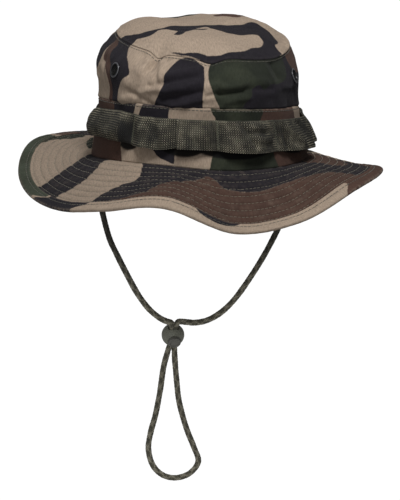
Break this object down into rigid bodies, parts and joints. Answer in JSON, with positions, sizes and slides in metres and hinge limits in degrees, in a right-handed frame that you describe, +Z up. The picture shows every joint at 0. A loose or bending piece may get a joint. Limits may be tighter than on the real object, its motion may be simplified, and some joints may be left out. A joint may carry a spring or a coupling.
{
  "type": "boonie hat",
  "caption": "Soft sewn hat with a stitched all-round brim, a looped webbing band, screened vents and a chin cord with a sprung toggle.",
  "frame": {"origin": "centre of the head opening, level with the crown's foot at the sides", "axes": "+Z up through the crown, -Y towards the hat's front, +X towards the wearer's left"},
  "size_m": [0.2891, 0.3146, 0.3833],
  "materials": {
    "camouflage_cloth": "matt cotton twill in four colours: sand, brown, green and black",
    "lining_tape": "matt olive cotton",
    "label_cloth": "smooth satin tape, blank",
    "interlining": "stiff felted sheet",
    "webbing": "woven nylon, slight sheen",
    "black_enamel": "gloss black enamel",
    "vent_wire": "fine black wire mesh",
    "braided_cord": "braided olive polyester",
    "toggle_plastic": "satin moulded plastic",
    "spring_steel": "drawn wire"
  },
  "bodies": {
    "hat": {"crown_top_panel": "camouflage_cloth", "crown_side_panel": "camouflage_cloth", "crown_band": "camouflage_cloth", "crown_seam_binding": "lining_tape", "sweatband": "lining_tape", "blank_label": "label_cloth", "brim_top_ply": "camouflage_cloth", "brim_interlining": "interlining", "brim_bottom_ply": "camouflage_cloth", "brim_edge_binding": "camouflage_cloth", "webbing_band": "webbing", "vent_eyelet_front_right": "black_enamel", "vent_eyelet_front_left": "black_enamel", "vent_eyelet_rear_left": "black_enamel", "vent_eyelet_rear_right": "black_enamel", "vent_washer_front_right": "black_enamel", "vent_washer_front_left": "black_enamel", "vent_washer_rear_left": "black_enamel", "vent_washer_rear_right": "black_enamel", "vent_screen_front_right": "vent_wire", "vent_screen_front_left": "vent_wire", "vent_screen_rear_left": "vent_wire", "vent_screen_rear_right": "vent_wire", "cord_tab_right": "webbing", "cord_tab_left": "webbing"},
    "chin_cord": {"chin_cord_right": "braided_cord", "chin_cord_left": "braided_cord", "chin_cord_loop": "braided_cord"},
    "toggle": {"toggle_body": "toggle_plastic", "toggle_spring": "spring_steel"},
    "plunger": {"toggle_plunger": "toggle_plastic"}
  },
  "joints": [
    {"name": "chin_cord_swing", "type": "hinge", "parent": "hat", "child": "chin_cord", "pos_m": [0, 0, -0.003], "axis": [1, 0, 0], "range_deg": [-50, 50], "deforming": ["chin_cord_right", "chin_cord_left", "chin_cord_loop"]},
    {"name": "toggle_slide", "type": "slide", "parent": "chin_cord", "child": "toggle", "axis": [0, 0, 1], "range_m": [-0.09, 0.06], "deforming": ["chin_cord_right", "chin_cord_left", "chin_cord_loop"]},
    {"name": "plunger_press", "type": "slide", "parent": "toggle", "child": "plunger", "axis": [0, 0.8829, 0.4695], "range_m": [0, 0.003], "stiffness_N_per_m": 250, "springref_m": -0.002, "deforming": ["toggle_spring"]}
  ]
}
